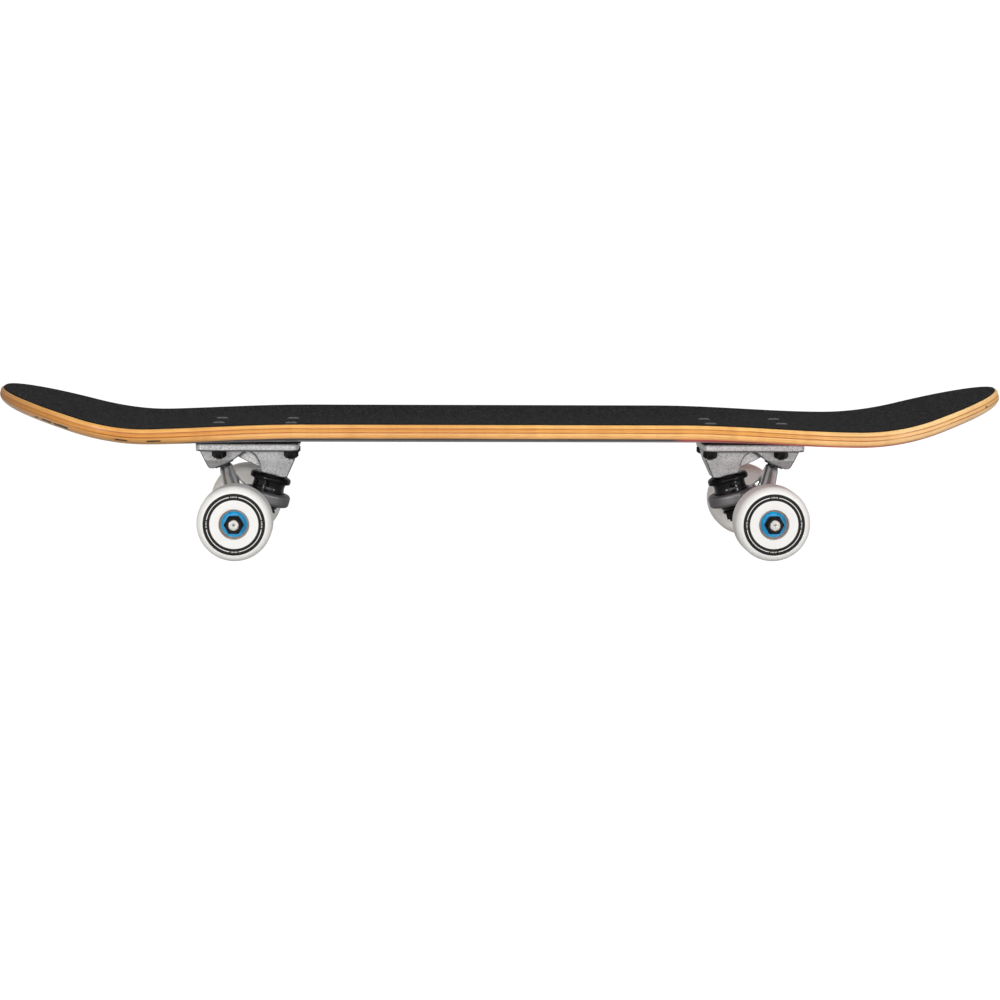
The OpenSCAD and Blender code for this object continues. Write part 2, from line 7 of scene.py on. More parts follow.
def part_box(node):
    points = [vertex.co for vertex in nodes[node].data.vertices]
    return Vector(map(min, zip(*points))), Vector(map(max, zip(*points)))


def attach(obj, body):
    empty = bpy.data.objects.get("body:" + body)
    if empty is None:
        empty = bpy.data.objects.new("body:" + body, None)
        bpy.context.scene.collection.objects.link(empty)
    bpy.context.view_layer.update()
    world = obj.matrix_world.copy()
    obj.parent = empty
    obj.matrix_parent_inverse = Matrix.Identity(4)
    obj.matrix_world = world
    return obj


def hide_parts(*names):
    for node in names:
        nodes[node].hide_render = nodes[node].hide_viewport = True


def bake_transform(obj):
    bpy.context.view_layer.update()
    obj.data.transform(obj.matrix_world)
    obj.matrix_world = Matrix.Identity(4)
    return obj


# Metres, in the CAD frame: +X nose, +Y the rider's left, +Z up, origin on the ground.
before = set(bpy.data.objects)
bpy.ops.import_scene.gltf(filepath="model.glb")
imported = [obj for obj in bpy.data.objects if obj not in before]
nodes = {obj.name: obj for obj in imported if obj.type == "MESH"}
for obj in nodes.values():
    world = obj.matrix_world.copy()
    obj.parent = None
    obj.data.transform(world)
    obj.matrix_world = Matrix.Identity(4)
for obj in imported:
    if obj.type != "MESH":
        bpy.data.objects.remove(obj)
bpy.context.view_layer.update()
MM = 0.001
TRUCKS = ("tail", "nose")
WHEELS = [(t, s) for t in TRUCKS for s in ("right", "left")]


# ---------------------------------------------------------------- materials

class Shader:
    """A principled material with short calls for its nodes."""

    def __init__(self, name, **sockets):
        self.m = bpy.data.materials.new(name)
        self.m.use_nodes = True
        self.t = self.m.node_tree
        self.t.nodes.clear()
        out = self.t.nodes.new("ShaderNodeOutputMaterial")
        self.b = self.t.nodes.new("ShaderNodeBsdfPrincipled")
        self.t.links.new(self.b.outputs[0], out.inputs[0])
        for k, v in sockets.items():
            self.b.inputs[k.replace("_", " ")].default_value = v

    def put(self, socket, value):
        if isinstance(value, bpy.types.NodeSocket):
            self.t.links.new(value, socket)
        elif value is not None:
            socket.default_value = value

    def set(self, name, value):
        self.put(self.b.inputs[name], value)

    def coord(self, kind="Object", scale=(1, 1, 1)):
        c = self.t.nodes.new("ShaderNodeTexCoord")
        m = self.t.nodes.new("ShaderNodeMapping")
        self.t.links.new(c.outputs[kind], m.inputs["Vector"])
        m.inputs["Scale"].default_value = scale
        return m.outputs[0]

    def noise(self, vec, scale, detail=3.0, rough=0.55, warp=0.0):
        n = self.t.nodes.new("ShaderNodeTexNoise")
        self.t.links.new(vec, n.inputs["Vector"])
        for k, v in (("Scale", scale), ("Detail", detail), ("Roughness", rough), ("Distortion", warp)):
            n.inputs[k].default_value = v
        return n.outputs["Fac"]

    def cells(self, vec, scale, out="Distance"):
        n = self.t.nodes.new("ShaderNodeTexVoronoi")
        self.t.links.new(vec, n.inputs["Vector"])
        n.inputs["Scale"].default_value = scale
        return n.outputs[out]

    def ramp(self, fac, stops):
        n = self.t.nodes.new("ShaderNodeValToRGB")
        while len(n.color_ramp.elements) < len(stops):
            n.color_ramp.elements.new(0.5)
        for e, (p, c) in zip(n.color_ramp.elements, stops):
            e.position = p
            e.color = (c, c, c, 1) if isinstance(c, (int, float)) else (*c, 1)
        self.put(n.inputs[0], fac)
        return n.outputs["Color"]

    def mix(self, fac, a, b):
        n = self.t.nodes.new("ShaderNodeMix")
        n.data_type = "RGBA"
        self.put(n.inputs[0], fac)
        self.put(n.inputs[6], (*a, 1) if isinstance(a, tuple) else a)
        self.put(n.inputs[7], (*b, 1) if isinstance(b, tuple) else b)
        return n.outputs[2]

    def math(self, op, a, b=None, c=None):
        n = self.t.nodes.new("ShaderNodeMath")
        n.operation = op
        for i, v in enumerate((a, b, c)):
            self.put(n.inputs[i], v)
        return n.outputs[0]

    def split(self, vec):
        n = self.t.nodes.new("ShaderNodeSeparateXYZ")
        self.t.links.new(vec, n.inputs[0])
        return n.outputs

    def band(self, value, lo, hi, soft):
        """1 between lo and hi, 0 outside, over a soft edge."""
        up = self.math("MULTIPLY_ADD", value, 1 / soft, -lo / soft + 0.5)
        down = self.math("MULTIPLY_ADD", value, -1 / soft, hi / soft + 0.5)
        n = self.math("MINIMUM", up, down)
        n.node.use_clamp = True
        return n

    def edges(self, low, high):
        """0 on flat and hollow surface, 1 along outer edges."""
        g = self.t.nodes.new("ShaderNodeNewGeometry")
        return self.ramp(g.outputs["Pointiness"], [(low, 0.0), (high, 1.0)])

    def facing_up(self):
        """World Z of the surface normal."""
        return self.split(self.t.nodes.new("ShaderNodeNewGeometry").outputs["Normal"])[2]

    def hollows(self, reach, dark=0.35, full=0.85):
        """1 deep in corners and gaps, 0 in the open."""
        n = self.t.nodes.new("ShaderNodeAmbientOcclusion")
        n.samples = 6
        n.inputs["Distance"].default_value = reach
        return self.ramp(n.outputs["AO"], [(dark, 1.0), (full, 0.0)])

    def bump(self, height, strength, distance):
        n = self.t.nodes.new("ShaderNodeBump")
        n.inputs["Strength"].default_value = strength
        n.inputs["Distance"].default_value = distance
        self.put(n.inputs["Height"], height)
        self.put(self.b.inputs["Normal"], n.outputs[0])


def wood_material(name, light, dark, pore=0.35, seam=(), voids=(), coat=0.12):
    """Maple ply. UV runs along the board in u and across the grain or the thickness in v, in metres."""
    s = Shader(name, Coat_Weight=coat, Coat_Roughness=0.18, Specular_IOR_Level=0.2)
    fine = s.noise(s.coord("UV", (70, 1100, 1)), 1.0, 5, 0.62, 0.25)
    wide = s.noise(s.coord("UV", (7, 330, 1)), 1.0, 3, 0.5, 0.2)
    colour = s.ramp(fine, [(0.30, dark), (0.50, light), (0.72, tuple(min(1, c * 1.2) for c in light))])
    colour = s.mix(s.ramp(wide, [(0.40, 0.0), (0.72, 0.75)]), colour, dark)
    pores = s.ramp(s.noise(s.coord("UV", (120, 3200, 1)), 1.0, 2, 0.6), [(0.60, 0.0), (0.70, pore)])
    colour = s.mix(pores, colour, tuple(c * 0.4 for c in dark))
    x, y, _ = s.split(s.coord("Object"))
    # painted highlight: the wood is lightened to cream along the nose
    along = s.math("MULTIPLY_ADD", x, 1.2, s.math("MULTIPLY_ADD", fine, 0.10, 0.42))
    painted_nose_highlight = s.ramp(along, [(0.70, 0.0), (0.84, 0.5), (0.89, 0.4), (0.94, 0.1)])
    colour = s.mix(painted_nose_highlight, colour, (0.96, 0.70, 0.38))
    v = s.split(s.coord("UV"))[1]
    wave = s.noise(s.coord("UV", (26, 26, 1)), 1.0, 2)
    shifted = s.math("MULTIPLY_ADD", wave, 0.0006, s.math("SUBTRACT", v, 0.0003))
    for lo, hi, tint, amount in seam:
        mask = s.band(shifted, lo, hi, 0.0003)
        grain = s.noise(s.coord("UV", (28, 240, 1)), 1.0, 4, 0.6)
        streak = s.ramp(grain, [(0.34, amount * 0.45), (0.54, amount)])
        colour = s.mix(s.math("MULTIPLY", mask, streak), colour, tint)
    # painted shade: the wood darkens to brown toward the tail tip
    toward_tail = s.math("MULTIPLY_ADD", x, -2.0, s.math("MULTIPLY", wide, 0.06))
    painted_tail_shade = s.ramp(toward_tail, [(0.63, 0.0), (0.79, 0.75)])
    colour = s.mix(painted_tail_shade, colour, (0.24, 0.10, 0.04))
    # painted shade: each void is a near-black patch on the flat edge, standing in for the shade inside the
    # hole
    if voids:
        near = s.band(y, -1.0, 0.0, 0.001)
        for x0, x1, lo, hi in voids:
            void_shade = s.math("MULTIPLY", s.band(x, x0, x1, 0.0016), s.band(shifted, lo, hi, 0.0003))
            colour = s.mix(s.math("MULTIPLY", void_shade, near), colour, (0.006, 0.002, 0.001))
    s.set("Base Color", colour)
    s.set("Roughness", s.math("MULTIPLY_ADD", fine, 0.25, 0.34))
    s.bump(s.math("MULTIPLY_ADD", pores, -0.6, fine), 0.25, 0.00012)
    return s


def underside_material(name, edge):
    """Stained bottom veneer: charcoal middle, coral nose and bare tail, with broad abstract stripes."""
    s = Shader(name, Coat_Weight=0.4, Coat_Roughness=0.2, Specular_IOR_Level=0.35)
    x, y, _ = s.split(s.coord("Object"))
    drift = s.math("MULTIPLY_ADD", s.noise(s.coord("Object", (5, 60, 6)), 1.0, 3), 0.012, x)
    t = s.math("MULTIPLY_ADD", drift, 1.25, 0.5)
    maple, char, coral, cream, teal = (
        (0.74, 0.42, 0.14), (0.085, 0.078, 0.088), (0.74, 0.12, 0.10), (0.70, 0.60, 0.47), (0.03, 0.17, 0.20))
    colour = s.ramp(t, [(0.0, maple), (0.205, maple), (0.222, char), (0.655, char),
                        (0.668, coral), (1.0, coral)])
    lengthwise = s.math("MULTIPLY_ADD", drift, 0.06, s.math("MULTIPLY_ADD", x, 1.19, 0.5))
    slant = s.math("MULTIPLY_ADD", y, 0.45, lengthwise)
    stripes = s.ramp(slant, [(0.0, 0), (0.30, 0), (0.301, 1), (0.33, 1), (0.331, 0),
                             (0.345, 0), (0.346, 1), (0.352, 1), (0.353, 0),
                             (0.60, 0), (0.601, 1), (0.612, 1), (0.613, 0),
                             (0.70, 0), (0.701, 1), (0.74, 1), (0.741, 0)])
    inner = s.band(s.math("ABSOLUTE", y), -1.0, 0.066, 0.001)
    tint = s.ramp(slant, [(0.0, teal), (0.338, teal), (0.342, cream), (0.65, cream),
                          (0.66, maple), (1.0, maple)])
    colour = s.mix(s.math("MULTIPLY", stripes, inner), colour, tint)
    if edge:
        bare = s.band(s.split(s.coord("UV"))[1], 0.00105, 1.0, 0.0003)
        colour = s.mix(bare, colour, LOW)
    grain = s.noise(s.coord("Object", (14, 330, 1)), 1.0, 5, 0.62, 0.3)
    colour = s.mix(s.ramp(grain, [(0.35, 0.5), (0.6, 0.0)]), colour, (0.03, 0.02, 0.015))
    worn = s.ramp(s.noise(s.coord("Object", (30, 150, 1)), 1.0, 6, 0.7), [(0.68, 0.0), (0.80, 0.4)])
    colour = s.mix(worn, colour, (0.55, 0.34, 0.16))
    s.set("Base Color", colour)
    s.set("Roughness", s.math("MULTIPLY_ADD", grain, 0.2, 0.3))
    s.bump(grain, 0.2, 0.0001)
    return s


def grip_material():
    s = Shader("grip_grit", Specular_IOR_Level=0.06, Roughness=0.8)
    vec = s.coord("Object")
    grains = s.cells(vec, 1500)
    value = s.split(s.cells(vec, 900, "Color"))[0]
    cloud = s.noise(vec, 420, 3, 0.6)
    # grain tone varies at random; the sparse brightest grains are also painted glints off the grit tips
    colour = s.ramp(value, [(0.0, 0.004), (0.70, 0.011), (0.88, 0.030), (0.965, 0.062), (1.0, 0.10)])
    colour = s.mix(s.ramp(cloud, [(0.38, 0.0), (0.64, 0.7)]), colour, (0.004, 0.004, 0.005))
    # painted light and shade: faint lighter streaks, stretched across the board, stand in for the lit and
    # shaded sides of raised grit
    painted_grit_relief = s.noise(s.coord("Object", (950, 150, 150)), 1.0, 3, 0.6)
    colour = s.mix(s.ramp(painted_grit_relief, [(0.46, 0.0), (0.62, 0.8)]), colour, (0.026, 0.026, 0.027))
    s.set("Base Color", colour)
    s.bump(s.math("SUBTRACT", 1.0, grains), 0.8, 0.0003)
    return s


def alloy_material(name, tone, rough, grain):
    """Cast aluminium: sand grain, bright specks, soft stains, painted highlights along edges, and painted
    shade on down-facing surfaces and in corners.
    """
    s = Shader(name, Metallic=0.4)
    vec = s.coord("Object")
    sand = s.noise(vec, 1050, 3, 0.75)
    cloud = s.noise(vec, 70, 4, 0.6)
    specks = s.split(s.cells(vec, 1100, "Color"))[1]
    colour = s.ramp(cloud, [(0.3, tuple(c * 0.82 for c in tone)), (0.7, tone)])
    colour = s.mix(s.ramp(specks, [(0.80, 0.0), (0.95, grain)]), colour, (0.97, 0.97, 0.98))
    colour = s.mix(s.ramp(sand, [(0.36, grain), (0.50, 0.0)]), colour, tuple(c * 0.35 for c in tone))
    edge = s.edges(0.505, 0.535)
    # down-facing surfaces, darkened below as painted shade
    down = s.ramp(s.math("MULTIPLY_ADD", s.facing_up(), 0.5, 0.5), [(0.34, 1.0), (0.46, 0.0)])
    # painted highlight: outer edges lightened
    colour = s.mix(s.math("MULTIPLY", edge, 0.5), colour, (0.97, 0.97, 0.98))
    # painted shade: down-facing surfaces, most at their edges, and tight corners darkened
    painted_shade = (0.03, 0.028, 0.028)
    colour = s.mix(s.math("MULTIPLY", down, s.math("MULTIPLY_ADD", edge, 0.6, 0.35)), colour, painted_shade)
    colour = s.mix(s.math("MULTIPLY", s.hollows(0.0024, 0.74, 0.98), 0.95), colour, painted_shade)
    s.set("Base Color", colour)
    s.set("Roughness", s.math("MULTIPLY_ADD", cloud, 0.16, rough - 0.08))
    s.bump(sand, 0.5 * grain, 0.0003)
    return s


def hanger_material():
    """Polished arms and beam; the ring around the bushings keeps its satin casting skin."""
    s = Shader("hanger_alloy", Metallic=0.7)
    vec = s.coord("Object")
    x, y, _ = s.split(vec)
    # distance inboard of the nearer axle, along the board
    inboard = s.math("SUBTRACT", 0.196, s.math("ABSOLUTE", s.math("ADD", x, 0.0025)))
    clear_of_axle = s.band(inboard, 0.004, 1.0, 0.006)
    near_middle = s.band(s.math("ABSOLUTE", y), -1.0, 0.024, 0.012)
    mask = s.math("MULTIPLY", clear_of_axle, near_middle)
    sand = s.noise(vec, 1200, 3, 0.7)
    cloud = s.noise(vec, 70, 4, 0.6)
    brush = s.noise(s.coord("Object", (900, 60, 900)), 1.0, 4, 0.6)
    cast = s.mix(s.ramp(sand, [(0.3, 0.5), (0.55, 0.0)]), (0.22, 0.22, 0.225), (0.10, 0.10, 0.105))
    # painted reflection: bright and dark bands, chosen by which way the surface faces along the board, stand
    # in for the polished arms' reflections
    side = s.split(s.t.nodes.new("ShaderNodeNewGeometry").outputs["Normal"])[0]
    painted_reflection_pos = s.math("MULTIPLY_ADD", side, 0.5, s.math("MULTIPLY_ADD", s.noise(vec, 110, 2, 0.5), 0.10, 0.45))
    streak = s.ramp(painted_reflection_pos, [(0.08, 0.2), (0.15, 0.8), (0.27, 0.8), (0.32, 0.0), (0.45, 0.0),
                             (0.50, 0.65), (0.62, 0.65), (0.68, 0.0), (0.85, 0.1), (0.95, 0.8)])
    bright = s.mix(s.ramp(cloud, [(0.35, 0.0), (0.8, 0.4)]), (0.97, 0.97, 0.97), (0.78, 0.78, 0.80))
    bright = s.mix(streak, bright, (0.13, 0.13, 0.14))
    colour = s.mix(mask, bright, cast)
    # painted highlight along outer edges
    colour = s.mix(s.math("MULTIPLY", s.edges(0.53, 0.60), 0.5), colour, (0.85, 0.85, 0.86))
    # painted shade: tight corners darkened
    painted_shade = s.math("MULTIPLY", s.hollows(0.0025, 0.6, 0.95), 0.9)
    s.set("Base Color", s.mix(painted_shade, colour, (0.012, 0.012, 0.014)))
    shine = s.math("MULTIPLY_ADD", brush, 0.12, 0.10)
    dull = s.math("MULTIPLY_ADD", sand, 0.2, 0.36)
    polished = s.math("MULTIPLY", s.math("SUBTRACT", 1.0, mask), shine)
    rough = s.math("ADD", s.math("MULTIPLY", mask, dull), polished)
    s.set("Roughness", rough)
    s.bump(s.math("MULTIPLY", mask, sand), 0.35, 0.0003)
    return s


def steel_material(name, tone, rough):
    s = Shader(name, Metallic=1.0)
    vec = s.coord("Object")
    marks = s.noise(s.coord("Object", (1400, 160, 1400)), 1.0, 4, 0.65)
    cloud = s.noise(vec, 180, 3, 0.6)
    s.set("Base Color", s.ramp(cloud, [(0.3, tuple(c * 0.7 for c in tone)), (0.7, tone)]))
    s.set("Roughness", s.math("MULTIPLY_ADD", marks, 0.25, rough - 0.12))
    s.bump(marks, 0.2, 0.0001)
    return s


def black_material(name, tone, rough, grain=0.0, spec=0.5, coat=0.0, wear=0.0):
    """Black oxide steel, moulded plastic or urethane."""
    s = Shader(name, Specular_IOR_Level=spec, Coat_Weight=coat, Coat_Roughness=0.1)
    vec = s.coord("Object")
    cloud = s.noise(vec, 240, 4, 0.65)
    fine = s.noise(vec, 2200, 2, 0.6)
    colour = s.ramp(cloud, [(0.3, tuple(c * 0.6 for c in tone)), (0.75, tuple(c * 1.7 for c in tone))])
    # edges lightened: partly worn bare metal, partly painted glints
    s.set("Base Color", s.mix(s.math("MULTIPLY", s.edges(0.52, 0.60), wear), colour, (0.30, 0.30, 0.31)))
    s.set("Roughness", s.math("MULTIPLY_ADD", cloud, 0.22, rough - 0.1))
    s.bump(fine, 0.15 + grain, 0.00015)
    return s


def wheel_material(name, outward, tone):
    """Cast urethane with two printed rings on its outer face; the axle line is the object's own Y."""
    s = Shader(name, Specular_IOR_Level=0.22, Subsurface_Weight=0.1, Subsurface_Scale=0.003)
    s.b.inputs["Subsurface Radius"].default_value = (1.0, 0.8, 0.55)
    vec = s.coord("Object")
    x, y, z = s.split(vec)
    r = s.math("SQRT", s.math("ADD", s.math("MULTIPLY", x, x), s.math("MULTIPLY", z, z)))
    cloud = s.noise(vec, 45, 3, 0.6)
    body = s.mix(s.ramp(cloud, [(0.3, 0.0), (0.75, 0.7)]), tone, tuple(c * 0.94 for c in tone))
    # generic print: two black bands, a white line between them, a lozenge row at each quarter
    angle = s.math("ARCTAN2", z, x)
    quarter = s.math("PINGPONG", s.math("ADD", angle, math.pi), math.pi / 4)
    near = s.band(quarter, -1.0, 0.17, 0.01)
    face = s.band(s.math("MULTIPLY", y, outward), 0.0134, 1.0, 0.0004)
    black = s.band(r, 0.0177, 0.0226, 0.00025)
    line = s.math("MULTIPLY", s.band(r, 0.0198, 0.0203, 0.0002), s.math("SUBTRACT", 1.0, near))
    dots = s.math("PINGPONG", quarter, 0.026)
    across = s.math("ABSOLUTE", s.math("SUBTRACT", r, 0.0201))
    lozenge = s.math("ADD", s.math("MULTIPLY", dots, 0.040), across)
    marks = s.math("MULTIPLY", s.band(lozenge, -1.0, 0.00062, 0.00015), s.band(quarter, -1.0, 0.118, 0.01))
    ink = s.math("MULTIPLY", black, s.math("SUBTRACT", 1.0, s.math("MAXIMUM", line, marks)))
    ink = s.math("MULTIPLY", ink, face)
    ink = s.math("MULTIPLY", ink, s.ramp(s.noise(vec, 900, 3, 0.7), [(0.26, 0.75), (0.36, 1.0)]))
    s.set("Base Color", s.mix(ink, body, (0.007, 0.006, 0.006)))
    s.set("Roughness", s.math("MULTIPLY_ADD", s.noise(vec, 350, 4, 0.6), 0.22, 0.33))
    s.bump(s.math("MULTIPLY_ADD", ink, 0.25, s.noise(vec, 700, 4, 0.65)), 0.12, 0.00015)
    return s


def shield_material():
    s = Shader("shield_blue", Specular_IOR_Level=0.3, Coat_Weight=0.25, Coat_Roughness=0.12)
    vec = s.coord("Object")
    cloud = s.noise(vec, 300, 3, 0.6)
    s.set("Base Color", s.ramp(cloud, [(0.3, (0.001, 0.22, 0.50)), (0.7, (0.003, 0.42, 0.80))]))
    s.set("Roughness", s.math("MULTIPLY_ADD", s.noise(vec, 1200, 3), 0.2, 0.25))
    s.bump(cloud, 0.15, 0.0002)
    return s


LIGHT = (0.78, 0.435, 0.125)
LOW = (0.76, 0.40, 0.118)
AMBER = (0.66, 0.305, 0.056)
DARK = (0.58, 0.24, 0.05)
LINE = (0.36, 0.10, 0.022)
# edge voids and a pinhole, painted near-black as the shade inside them: (from x, to x, from height, to
# height) in metres, within one ply
PINHOLE = ((0.3580, 0.3595, 0.0002, 1.0),)
VOIDS = ((-0.344, -0.341, 0.0006, 1.0), (-0.3385, -0.3308, 0.0003, 1.0), (-0.3292, -0.3185, 0.0001, 1.0),
         (-0.284, -0.275, 0.0006, 1.0), (-0.261, -0.251, 0.0006, 1.0))
M_LIGHT = wood_material("maple_face", LIGHT, DARK)
M_SIX = wood_material("maple_six", LIGHT, DARK, 0.4, [(-1.0, 0.0006, LINE, 1.0)])
M_CROSS = wood_material("maple_cross", AMBER, (0.50, 0.18, 0.035), 0.5, [(0.0013, 1.0, LINE, 0.7)])
M_MID = wood_material("maple_core", AMBER, DARK, 0.5, [(-1.0, 0.0008, LINE, 1.0)], PINHOLE)
M_CROSS_LOW = wood_material("maple_cross_low", LIGHT, DARK, 0.35, [(0.0013, 1.0, LINE, 0.3)], (), 0.8)
M_LOW = wood_material("maple_low", (0.80, 0.415, 0.145), DARK, 0.3, [(-1.0, 0.0003, LINE, 0.35)], VOIDS, 0.8)
M_UNDER = underside_material("underside_stain", False)
M_UNDER_EDGE = underside_material("underside_edge", True)
M_GRIP = grip_material()
M_CAST = alloy_material("baseplate_alloy", (0.90, 0.89, 0.895), 0.40, 0.8)
M_HANGER = hanger_material()
M_STEEL = steel_material("zinc_steel", (0.72, 0.70, 0.67), 0.34)
# painted shade: the races are darker and browner than steel, as the shade in the bearing recess
M_RACE = steel_material("race_steel", (0.30, 0.24, 0.20), 0.34)
M_BOLT = black_material("black_oxide", (0.004, 0.004, 0.004), 0.22, 0.1, 0.08, 0.0, 0.06)
M_WORN = steel_material("worn_bolt_heads", (0.17, 0.17, 0.18), 0.30)
M_WASHER = black_material("black_washer", (0.003, 0.003, 0.004), 0.2, 0.0, 0.15, 0.0, 0.12)
M_URETHANE = black_material("black_urethane", (0.002, 0.002, 0.003), 0.12, 0.0, 0.25, 0.35)
M_RISER = black_material("riser_rubber", (0.006, 0.006, 0.006), 0.8, 0.4, 0.1)
M_GRIP_EDGE = black_material("grip_edge", (0.010, 0.010, 0.010), 0.8, 0.4, 0.1)
M_CUP = black_material("cup_plastic", (0.010, 0.010, 0.011), 0.4, 0.0, 0.3)
# one urethane in two tones: the near right wheels darker as painted shade, the far left wheels lighter as
# painted light
M_WHEEL = {"right": wheel_material("wheel_right_shaded", -1.0, (0.76, 0.75, 0.73)),
           "left": wheel_material("wheel_left_lit", 1.0, (0.90, 0.88, 0.84))}
M_SHIELD = shield_material()


# ---------------------------------------------------------------- mesh helpers

def new_piece(name, verts, faces, mats, body, stands_for,
              smooth=40, uv=None, face_mat=None, origin=(0, 0, 0)):
    """A mesh object with vertices in the CAD frame. Origin is its local zero; body may be None."""
    me = bpy.data.meshes.new(name)
    o = Vector(origin)
    me.from_pydata([Vector(v) - o for v in verts], [], faces)
    for m in mats:
        me.materials.append(m.m)
    if face_mat is not None:
        me.polygons.foreach_set("material_index", face_mat)
    if uv is not None:
        layer = me.uv_layers.new(name="UVMap")
        flat = []
        for p in me.polygons:
            for c in uv(p, me):
                flat.extend(c)
        layer.data.foreach_set("uv", flat)
    me.validate()
    ob = bpy.data.objects.new(name, me)
    bpy.context.scene.collection.objects.link(ob)
    ob.location = o
    finish_mesh(ob, smooth)
    if body:
        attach(ob, body)
    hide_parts(*stands_for)
    return ob


def finish_mesh(ob, smooth):
    me = ob.data
    bm = bmesh.new()
    bm.from_mesh(me)
    bmesh.ops.recalc_face_normals(bm, faces=bm.faces)
    for e in bm.edges:
        if len(e.link_faces) == 2:
            e.smooth = e.calc_face_angle(0) < math.radians(smooth)
    for f in bm.faces:
        f.smooth = True
    bm.to_mesh(me)
    bm.free()


def lathe(profile, steps, close=True):
    """Turns (radius, along) points about local Z. A radius of 0 becomes a single point."""
    verts, rings, faces = [], [], []
    for r, z in profile:
        if r < 1e-7:
            rings.append([len(verts)])
            verts.append((0, 0, z))
        else:
            rings.append(list(range(len(verts), len(verts) + steps)))
            angles = [2 * math.pi * i / steps for i in range(steps)]
            verts += [(r * math.cos(a), r * math.sin(a), z) for a in angles]
    pairs = list(zip(rings, rings[1:] + rings[:1])) if close else list(zip(rings, rings[1:]))
    for a, b in pairs:
        for i in range(steps):
            j = (i + 1) % steps
            if len(a) == 1 and len(b) == 1:
                break
            if len(a) == 1:
                faces.append((a[0], b[i], b[j]))
            elif len(b) == 1:
                faces.append((a[i], b[0], a[j]))
            else:
                faces.append((a[i], b[i], b[j], a[j]))
    return verts, faces


def arc(cx, cz, rx, rz, a0, a1, n):
    """Points along an ellipse arc, degrees."""
    pts = []
    for i in range(n + 1):
        a = math.radians(a0 + (a1 - a0) * i / n)
        pts.append((cx + rx * math.cos(a), cz + rz * math.sin(a)))
    return pts


def placed(verts, m):
    return [m @ Vector(v) for v in verts]


# ---------------------------------------------------------------- deck

lo1, hi1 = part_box("veneer_1")
PLY, GRIP_T = 1.6 * MM, 1.0 * MM
WOOD = 7 * PLY
DECK_Z = lo1.z
HALF_LEN = (hi1.x - lo1.x) / 2
HALF_W = (hi1.y - lo1.y) / 2
KICK_LEN, KICK_R, KICK_A = 122 * MM, 206 * MM, math.radians(17)
TIP_FULL = {-1: 0.88, 1: 1.03}
KICK_X = HALF_LEN - KICK_LEN
BEND_RUN, BEND_RISE = KICK_R * math.sin(KICK_A), KICK_R * (1 - math.cos(KICK_A))
CONCAVE, FLAT, FADE = 6.1 * MM, 25 * MM, 135 * MM
TAIL_FADE, NOSE_FADE = (150 * MM, 1.5 * MM), (125 * MM, 0.6 * MM)


def rise(s):
    if s <= 0:
        return 0.0
    if s < BEND_RUN:
        return KICK_R - math.sqrt(KICK_R ** 2 - s * s)
    return BEND_RISE + (s - BEND_RUN) * math.tan(KICK_A)


def deck_height(x, y):
    start, left = TAIL_FADE if x < 0 else NOSE_FADE
    u = min(1, max(0, (abs(x) - start) / FADE))
    c = CONCAVE - (CONCAVE - left) * u * u * (3 - 2 * u)
    v = max(0, abs(y) - FLAT) / (HALF_W - FLAT)
    return DECK_Z + rise(abs(x) - KICK_X) + c * v * v


def deck_point(x, y, w):
    e = 1e-5
    zx = (deck_height(x + e, y) - deck_height(x - e, y)) / (2 * e)
    zy = (deck_height(x, y + e) - deck_height(x, y - e)) / (2 * e)
    n = math.sqrt(1 + zx * zx + zy * zy)
    return Vector((x - w * zx / n, y - w * zy / n, deck_height(x, y) + w / n))


def ease(u):
    u = min(1.0, max(0.0, u))
    return u * u * (3 - 2 * u)


def wear(station):
    """Two shares from 0 to 1: how near a station is to a rounded tip, and how far into the scuffed tail."""
    kind, v, side = station
    tip = min(1.0, v / 45) if kind == "tip" else 0.0
    x = v if kind == "mid" else KICK_X + KICK_LEN * math.sin(math.radians(v)) ** TIP_FULL[side]
    return tip, ease((x - 0.185) / 0.09) if side < 0 else 0.0


def rail_inset(w, u):
    """How far the routed edge stands in from the outline at height w."""
    tip, tail = u
    low_in = (4.6 + max(4.4 * tip, 7.4 * tail)) * MM
    low_h = (4.6 + max(1.4 * tip, 2.6 * tail)) * MM
    top_in, top_h = (2.6 - 1.2 * tip) * MM, (2.6 - 1.0 * tip) * MM
    if w < low_h:
        k = 1 - w / low_h
        return low_in * (1 - math.sqrt(max(0, 1 - k * k)))
    if w > WOOD - top_h:
        k = min(1, (w - WOOD + top_h) / top_h)
        return top_in * (1 - math.sqrt(max(0, 1 - k * k)))
    return 0.0


def grip_inset(w, u):
    return (2.75 - 1.3 * u[0]) * MM + 0.25 * (w - WOOD)


TIP_STEPS = [i * 90 / 36 for i in range(36)] + [88.8]
MID_STEPS = [i * KICK_X / 40 for i in range(40)]
HALF = [("mid", x) for x in MID_STEPS] + [("tip", a) for a in TIP_STEPS]
STATIONS = [(k, v, -1) for k, v in reversed(HALF) if (k, v) != ("mid", 0.0)]
STATIONS += [(k, v, 1) for k, v in HALF]
LANES = [math.sin(math.radians(a)) for a in range(-90, 91, 6)]


def outline(station, inset):
    kind, v, side = station
    if kind == "mid":
        return side * v, HALF_W - inset
    a = math.radians(v)
    return (side * (KICK_X + (KICK_LEN - inset) * math.sin(a) ** TIP_FULL[side]),
            (HALF_W - inset) * math.cos(a) ** TIP_FULL[side])


